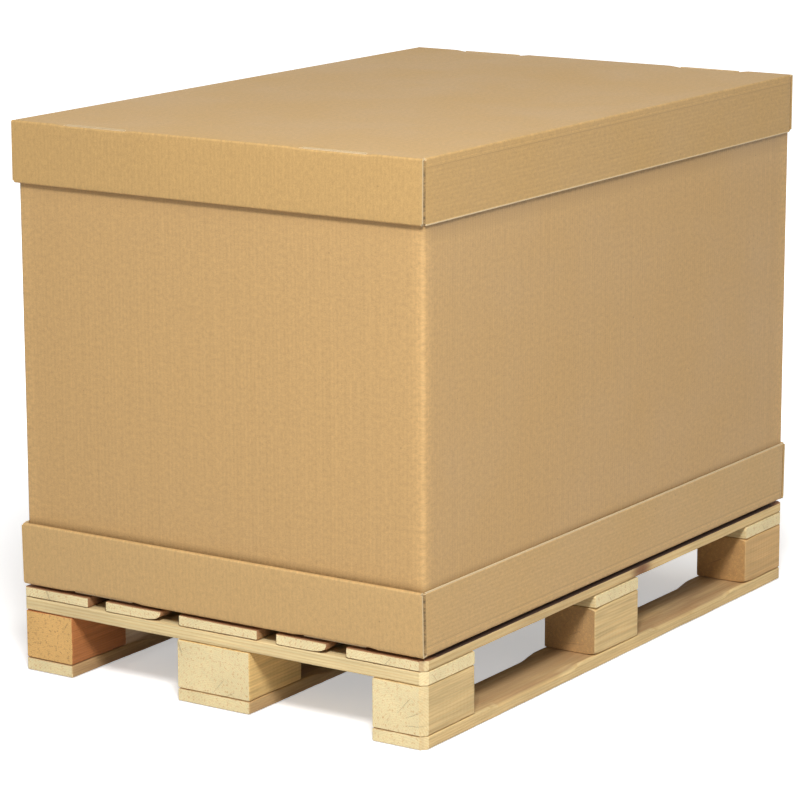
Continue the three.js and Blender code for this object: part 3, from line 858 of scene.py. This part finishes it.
block_boxes = {(c, r): [np.array(v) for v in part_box(f"block_{c}_{r}")] for c in (1, 2, 3) for r in (1, 2, 3)}
print("pallet half size, mm:", round(pallet_x / MM, 1), round(pallet_y / MM, 1))

# %% [markdown]
# ## Sawn timber as a swept section
# A pallet board is rough-sawn: its edges are broken, its faces are a little uneven, and some boards still
# carry the round outside of the trunk along an edge, which sawyers call wane. A box with a bevel modifier
# gives every edge the same rounding. Here the section is swept along the grain instead, and each of its
# four corners has its own rounding at every stop. The deck's tops are worn lower near the outside.

# %% The section and its corners
edge_rounding, chip_depth, saw_wander, fine_wander = 2.1 * MM, 7 * MM, 0.9 * MM, 0.25 * MM
worn_zone, worn_ease = 24 * MM, 14 * MM
bevel_wide, bevel_deep, bevel_run_in, bevel_soft = 14 * MM, 8 * MM, 45 * MM, 0.15
end_pull, end_roughness = 1.0 * MM, 0.35 * MM
along_cell, up_cell = 11 * MM, 7 * MM
timber_sharp = 32
CORNER_STEPS = 4


def corner_stops(wide, high, cuts, roundness):
    """Section outline from the low left corner, anticlockwise.

    cuts holds four (across, up) sizes, and roundness is 1 for a round corner and 0 for a straight bevel.
    """
    quarter = [k / CORNER_STEPS for k in range(CORNER_STEPS + 1)]
    signs = [((0, 0), (1, 1)), ((wide, 0), (-1, 1)), ((wide, high), (-1, -1)), ((0, high), (1, -1))]
    corners = []
    for (origin, sign), (cut_a, cut_z), soft in zip(signs, cuts, roundness):
        arc = []
        for k in quarter:
            angle = k * math.pi / 2
            a = cut_a * (soft * (1 - math.cos(angle)) + (1 - soft) * k)
            z = cut_z * (soft * (1 - math.sin(angle)) + (1 - soft) * (1 - k))
            arc.append((origin[0] + sign[0] * a, origin[1] + sign[1] * z))
        corners.append(arc if sign[0] == sign[1] else arc[::-1])
    return corners


def ring_of(corners, steps_wide, steps_high):
    """Joins the four corners into one ring of points, with evenly spaced points on the sides."""
    points = []
    for i, arc in enumerate(corners):
        points.extend(arc)
        following = corners[(i + 1) % 4][0]
        steps = steps_wide if i % 2 == 0 else steps_high
        for k in range(1, steps):
            share = k / steps
            points.append(tuple((1 - share) * a + share * b for a, b in zip(arc[-1], following)))
    return points


def jitter(x, y, z, size, seed):
    """A smooth random value about 0.5 that changes over the given size."""
    return 0.5 + 0.5 * noise.noise(Vector((x / size + seed * 7.3, y / size - seed, z / size + 3.1 * seed)))


def corner_cuts(s, seed, wide, tall, wane, bevels):
    """How much each corner of the section loses at one stop, and how round it is."""
    cuts, soft = [], [1.0] * 4
    for corner in range(4):
        rough = edge_rounding * (0.5 + jitter(s, corner, seed, 0.05, seed) * 0.9
                                 + 0.6 * jitter(s, corner, seed, 0.012, seed + 1))
        chip = max(0.0, jitter(s, corner, seed, 0.016, seed + 3) - 0.66) * chip_depth
        cut_a = cut_z = rough + chip
        for at, start, end, across, high_cut in wane:
            if at == corner:
                shape = (1 - min(1, max(0, (s - start) / (end - start)))) ** 0.7
                ragged = 0.75 + 0.5 * jitter(s, corner, seed, 0.02, seed + 2)
                cut_a = max(cut_a, across * shape * ragged)
                cut_z = max(cut_z, high_cut * shape * ragged)
        cuts.append((min(cut_a, 0.45 * wide), min(cut_z, 0.8 * tall)))
    for start, end in bevels:
        run_in = min(1.0, (s - start) / bevel_run_in, (end - s) / bevel_run_in)
        if run_in > bevel_soft:
            cuts[2] = cuts[3] = (run_in * bevel_wide, run_in * bevel_deep)
            soft[2] = soft[3] = bevel_soft
    return cuts, soft

# %% Sweep a board
def sawn(name, low, high, along, seed, material, replaced, wane=(), trims=(), bevels=(), worn_top=0):
    """Sweeps a board or block along its grain.

    wane holds (corner, start, end, across, up): the cut is full at start and gone at end, in the scene's
    metres along the grain. bevels holds the start and end of each bevel on the two upper edges, and
    worn_top is how far the top is worn down near the pallet's outside.
    """
    side = 1 - along
    wide, tall, length = high[side] - low[side], high[2] - low[2], high[along] - low[along]
    stops = np.array(sorted({0.0, 0.7 * MM, 2 * MM, length - 2 * MM, length - 0.7 * MM,
                             *even(along_cell)(length)[1:-1]}))
    steps_wide, steps_high = max(2, round(wide / along_cell)), max(2, round(tall / up_cell))
    outer_low, outer_high = low[1] < -pallet_y + MM, high[1] > pallet_y - MM
    body = bmesh.new()
    rings = []
    for stop in stops:
        s = low[along] + stop
        cuts, soft = corner_cuts(s, seed, wide, tall, wane, bevels)
        from_end = min(stop, length - stop)
        pull = end_pull * max(0.0, 1 - from_end / (2 * MM)) ** 2
        verts = []
        for a, z in ring_of(corner_stops(wide, tall, cuts, soft), steps_wide, steps_high):
            x, y = (s, low[1] + a) if along == 0 else (low[0] + a, s)
            height = low[2] + z
            inward_a = pull + (saw_wander * jitter(x, y, height, 0.09, seed)
                               + fine_wander * jitter(x, y, height, 0.014, seed))
            inward_z = inward_a
            if worn_top and z > tall / 2:
                nearest = min(from_end, a if outer_low else 1, wide - a if outer_high else 1)
                inward_z += worn_top * min(1.0, max(0.0, 1 - (nearest - worn_zone) / worn_ease))
            share_a = max(0.0, 1 - min(a, wide - a) / (0.25 * wide))
            share_z = max(0.0, 1 - min(z, tall - z) / (0.25 * tall))
            place = [x, y, height + inward_z * share_z * (1 if z < tall / 2 else -1)]
            place[side] += inward_a * share_a * (1 if a < wide / 2 else -1)
            if stop in (0.0, length):
                place[along] += (1 if stop == 0 else -1) * end_roughness * jitter(x, y, height, 0.02, seed + 5)
            verts.append(body.verts.new(place))
        rings.append(verts)
    count = len(rings[0])
    for ring, following in zip(rings, rings[1:]):
        for k in range(count):
            body.faces.new((ring[k], ring[(k + 1) % count], following[(k + 1) % count], following[k]))
    body.faces.new(rings[0][::-1])
    body.faces.new(rings[-1])
    for point, direction in trims:
        parts = body.verts[:] + body.edges[:] + body.faces[:]
        bmesh.ops.bisect_plane(body, geom=parts, plane_co=point, plane_no=direction, clear_outer=True)
        bmesh.ops.holes_fill(body, edges=[e for e in body.edges if e.is_boundary], sides=0)
    mesh = bpy.data.meshes.new(name)
    body.to_mesh(mesh)
    body.free()
    mesh.materials.append(material)
    made = finished(name, mesh, timber_sharp)
    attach(made, "root")
    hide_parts(*replaced)
    return made

# %% [markdown]
# ## Boards and blocks
# Three layers of boards run in turn along and across the pallet, with nine blocks between. They're cut from
# different logs, so each gets its own heart, and the blocks differ in ring width and warmth of colour.

# %% Saw the deck and cross boards
deck_wear = 4.2 * MM
for n in range(1, 6):
    low, high = (np.array(v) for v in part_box(f"deck_board_{n}"))
    low[2], high[2] = cross_top, deck_top
    heart = (0.0, (low[1] + high[1]) / 2 + (0.03, -0.05, 0.01, 0.04, -0.03)[n - 1], low[2] - 0.02 - 0.012 * n)
    # the deck gets painted shade on its inner flanks and on its tops
    finish = pine_material(f"pine_deck_{n}", 0, heart, contrast=0.42, painted_shade=0.95, deep_shade=True)
    wane = [(0, -0.6, -0.40, 0.036, 0.014)] if n in (2, 4) else []
    sawn(f"deck_plank_{n}", low, high, 0, 10 + n, finish, [f"deck_board_{n}"], wane,
         trims_for(low, high), worn_top=deck_wear)

for n in range(1, 4):
    low, high = (np.array(v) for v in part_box(f"cross_board_{n}"))
    low[2], high[2] = cross_low, cross_top
    heart = ((low[0] + high[0]) / 2 + 0.02 * n - 0.03, 0.0, low[2] - 0.03)
    finish = pine_material(f"pine_cross_{n}", 1, heart, side=(0.80, 0.64, 0.34), contrast=0.35)
    sawn(f"cross_plank_{n}", low, high, 1, 20 + n, finish, [f"cross_board_{n}"], [],
         trims_for(low, high))

# %% Saw the bottom boards
bevel_stop = 30 * MM
for n in range(1, 4):
    low, high = (np.array(v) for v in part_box(f"bottom_board_{n}"))
    low[2], high[2] = 0.0, bottom_top
    bays = [(block_boxes[c, n][1][0] + bevel_stop, block_boxes[c + 1, n][0][0] - bevel_stop) for c in (1, 2)]
    heart = (0.0, (low[1] + high[1]) / 2 - 0.02 * n + 0.03, -0.05)
    # the bottom boards get painted shade where they face the pallet's inside
    finish = pine_material(f"pine_bottom_{n}", 0, heart, contrast=0.38, painted_shade=0.6)
    sawn(f"bottom_plank_{n}", low, high, 0, 30 + n, finish, [f"bottom_board_{n}"], [],
         trims_for(low, high), bays)

# %% Saw the blocks
block_tints = {
    (1, 2): (end_colour, (0.88, 0.60, 0.24)),
    (1, 3): ((0.88, 0.54, 0.19), (0.52, 0.19, 0.055), (0.34, 0.14, 0.05)),
    (2, 1): ((0.52, 0.31, 0.13), side_colour),
    (3, 1): ((0.54, 0.30, 0.11), (0.66, 0.42, 0.18)),
}
for (c, r), (low, high) in block_boxes.items():
    low, high = low.copy(), high.copy()
    low[2], high[2] = bottom_top, cross_low
    tints = block_tints.get((c, r), (end_colour, side_colour))
    heart = (0.0, (low[1] + high[1]) / 2 + 0.02 * c, (low[2] + high[2]) / 2 - 0.03 * r)
    finish = pine_material(f"pine_block_{c}_{r}", 0, heart, *tints, ring=3.4 * MM, contrast=0.35, knots=0.6)
    wane = []
    if (c, r) in ((2, 1), (3, 1)):
        wane = [(corner, low[0] - 0.001, low[0] + 0.03, 0.02, 0.005) for corner in (0, 3)]
    sawn(f"pine_block_{c}_{r}", low, high, 0, 40 + 3 * c + r, finish, [f"block_{c}_{r}"], wane,
         trims_for(low, high))

# %% [markdown]
# ## Nails
# The pallet is nailed from above and from below. The heads repeat many times, so Geometry Nodes set them: a
# mesh with one point for each nail goes in, and one small disc for each point comes out, tilted by a random
# amount with a fixed seed. The narrow deck boards lie on no block, so thinner nails go right through them
# and the cross boards, and their tips are bent over (clinched) underneath. The same tree sets those heads
# and, with the disc made long and thin and laid flat, those tips. The result is turned into a plain mesh,
# because an exported model can't hold instances.

# %% A tree that sets nails
def nail_tree(material):
    """One disc for each point: leaned as the nail lies, then turned and tilted by chance."""
    tree = bpy.data.node_groups.new("set nail heads", "GeometryNodeTree")
    for name, kind in (("Geometry", "Geometry"), ("Head Radius", "Float"), ("Head Height", "Float"),
                       ("Lean", "Float"), ("Tilt", "Float"), ("Seed", "Int")):
        tree.interface.new_socket(name, in_out="INPUT", socket_type="NodeSocket" + kind)
    tree.interface.new_socket("Geometry", in_out="OUTPUT", socket_type="NodeSocketGeometry")
    given, result = tree.nodes.new("NodeGroupInput").outputs, tree.nodes.new("NodeGroupOutput")
    head = node(tree, "GeometryNodeMeshCylinder", {},
                {"Vertices": 12, "Radius": given["Head Radius"], "Depth": given["Head Height"]})
    low_tilt = times(tree, given["Tilt"], -1.0)
    lowest = node(tree, "ShaderNodeCombineXYZ", {}, {0: low_tilt, 1: low_tilt, 2: 0.0})
    highest = node(tree, "ShaderNodeCombineXYZ", {}, {0: given["Tilt"], 1: given["Tilt"], 2: 6.28})
    turned = node(tree, "FunctionNodeRandomValue", {"data_type": "FLOAT_VECTOR"},
                  {0: lowest, 1: highest, "Seed": given["Seed"]})
    lean = node(tree, "ShaderNodeCombineXYZ", {}, {0: given["Lean"]})
    leaned = node(tree, "GeometryNodeTransform", {}, {"Geometry": head, "Rotation": lean})
    placed = node(tree, "GeometryNodeInstanceOnPoints", {},
                  {"Points": given["Geometry"], "Instance": leaned, "Rotation": turned})
    real = node(tree, "GeometryNodeRealizeInstances", {}, {0: placed})
    fill(tree, result, {0: node(tree, "GeometryNodeSetMaterial", {}, {0: real, "Material": material})})
    return tree


def grown(name, points, tree, values):
    """Runs a Geometry Nodes tree on loose points and keeps the result as a plain mesh."""
    mesh = bpy.data.meshes.new(name + "_points")
    mesh.from_pydata([tuple(p) for p in points], [], [])
    seed_object = bpy.data.objects.new(name + "_points", mesh)
    bpy.context.collection.objects.link(seed_object)
    modifier = seed_object.modifiers.new("grow", "NODES")
    modifier.node_group = tree
    sockets = {i.name: i.identifier for i in tree.interface.items_tree if i.in_out == "INPUT"}
    for key, value in values.items():
        modifier[sockets[key]] = value
    evaluated = seed_object.evaluated_get(bpy.context.evaluated_depsgraph_get())
    made = bpy.data.objects.new(name, bpy.data.meshes.new_from_object(evaluated))
    made.data.name = name
    bpy.data.objects.remove(seed_object)
    bpy.context.collection.objects.link(made)
    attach(made, "root")
    print(f"{name}: {len(points)} set, {len(made.data.polygons)} faces")
    return made

# %% Tarnished steel
steel_tree = started("nail_steel")
tarnish = cloudy(steel_tree, node(steel_tree, "ShaderNodeTexCoord", {}, {}, "Object"), 300.0)
steel_colour = blended(steel_tree, span(steel_tree, tarnish, 0.4, 0.65),
                       (0.30, 0.28, 0.26, 1), (0.12, 0.08, 0.06, 1))
nail_steel = plain_material("nail_steel", steel_colour, 0.45)
nail_steel.node_tree.nodes["Principled BSDF"].inputs["Metallic"].default_value = 0.85
print("nail finish:", nail_steel.name)

# %% Nails into the blocks
nail_inset, head_radius, head_height, sunk = 32 * MM, 5 * MM, 2.4 * MM, 0.2 * MM
head_middle = deck_top - head_height / 2 - sunk
nail_rows = []
for (c, r), (low, high) in block_boxes.items():
    middle = (low + high) / 2
    dx, dy = (high[0] - low[0]) / 2 - nail_inset, (high[1] - low[1]) / 2 - nail_inset
    nail_rows += [(middle, s * dx, q) for s, q in ((-1, dy), (1, dy), (0, -dy))]
under = [(m[0] + a, m[1] + b, head_height / 2 + sunk) for m, a, b in nail_rows]
above = [(m[0] + a, m[1] - b, head_middle) for m, a, b in nail_rows]
nails = nail_tree(nail_steel)
grown("nail_heads", under + above, nails,
      {"Head Radius": head_radius, "Head Height": head_height, "Lean": 0.0, "Tilt": 0.03, "Seed": 4})

# %% Clinched nails
clinch_head, clinch_tip, tip_length, clinch_offset = 4 * MM, 1.2 * MM, 14 * MM, 40.5 * MM
columns = [sum(v[0] for v in block_boxes[c, 2]) / 2 for c in (1, 2, 3)]
clinched = []
for n in (2, 4):
    low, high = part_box(f"deck_board_{n}")
    reach_y = (high[1] - low[1]) / 2 - nail_inset
    clinched += [(x + s * clinch_offset, (low[1] + high[1]) / 2 + q * reach_y)
                 for x in columns for s in (-1, 1) for q in (-1, 1)]
grown("clinched_nail_heads", [(x, y, head_middle) for x, y in clinched], nails,
      {"Head Radius": clinch_head, "Head Height": head_height, "Lean": 0.0, "Tilt": 0.03, "Seed": 5})
grown("clinched_nail_tips", [(x, y, cross_low - clinch_tip) for x, y in clinched], nails,
      {"Head Radius": clinch_tip, "Head Height": tip_length, "Lean": math.pi / 2, "Tilt": 0.0, "Seed": 6})

# %% [markdown]
# ## Floor and light
# The studio is white paper under soft light. The floor lights the pallet from below like any pale surface.
# For the camera it turns to plain white farther out, so that the background is white at every view, while
# near the pallet it still shows the soft shadow. Light Path tells the rays apart. The light from behind is
# kept out of reflections, because the lid's smooth paper would show it as a pale patch.

# %% Lay the floor
floor_mesh = bpy.data.meshes.new("floor")
reach = 60.0
floor_mesh.from_pydata([(-reach, -reach, 0), (reach, -reach, 0), (reach, reach, 0), (-reach, reach, 0)], [],
                       [(0, 1, 2, 3)])
floor = bpy.data.objects.new("floor", floor_mesh)
floor.location.z = -0.5 * MM
bpy.context.collection.objects.link(floor)


def seen_directly(tree):
    """1 for rays that the camera, a mirror or glass sees."""
    path = tree.nodes.new("ShaderNodeLightPath").outputs
    seen = maths(tree, "ADD", path["Is Camera Ray"], path["Is Glossy Ray"])
    return maths(tree, "ADD", seen, path["Is Transmission Ray"], clamp=True)


tree = started("floor_paper")
seen = seen_directly(tree)
place = node(tree, "ShaderNodeTexCoord", {}, {}, "Object")
fill(tree, tree.nodes["Principled BSDF"], {
    "Specular IOR Level": 0.0, "Roughness": 1.0, "Emission Color": (1, 1, 1, 1),
    "Base Color": blended(tree, seen, (0.62, 0.61, 0.60, 1), (1, 1, 1, 1)),
    "Emission Strength": times(tree, seen, span(tree, length_of(tree, place), 0.7, 2.0, 0.42, 1.0)),
})
floor_mesh.materials.append(bpy.data.materials["floor_paper"])
print("floor:", 2 * reach, "m wide")

# %% Light the scene
world = bpy.data.worlds.new("studio")
bpy.context.scene.world = world
world.use_nodes = True
tree = world.node_tree
strength = span(tree, seen_directly(tree), 0.0, 1.0, 0.29, 1.0)
fill(tree, tree.nodes["Background"], {"Color": (1, 1, 1, 1), "Strength": strength})


def soft_box(name, place, target, size, watts, glossy=True):
    """A square lamp, like a studio soft box, that looks at a point. It may be kept out of reflections."""
    lamp = bpy.data.objects.new(name, bpy.data.lights.new(name, "AREA"))
    lamp.data.energy = watts
    lamp.data.size = size
    lamp.location = place
    lamp.visible_glossy = glossy
    lamp.rotation_mode = "QUATERNION"
    lamp.rotation_quaternion = (Vector(target) - Vector(place)).to_track_quat("-Z", "Y")
    bpy.context.collection.objects.link(lamp)


soft_box("key_light", (-2.8, -1.9, 3.1), (-0.5, -0.3, 0.5), 0.8, 150)
soft_box("fill_light", (1.2, -4.6, 1.9), (0.2, -0.2, 0.5), 3.0, 11)
soft_box("back_light", (3.4, 2.6, 2.3), (0.3, 0.2, 0.5), 2.5, 45, glossy=False)
bpy.context.scene.view_settings.view_transform = "Standard"
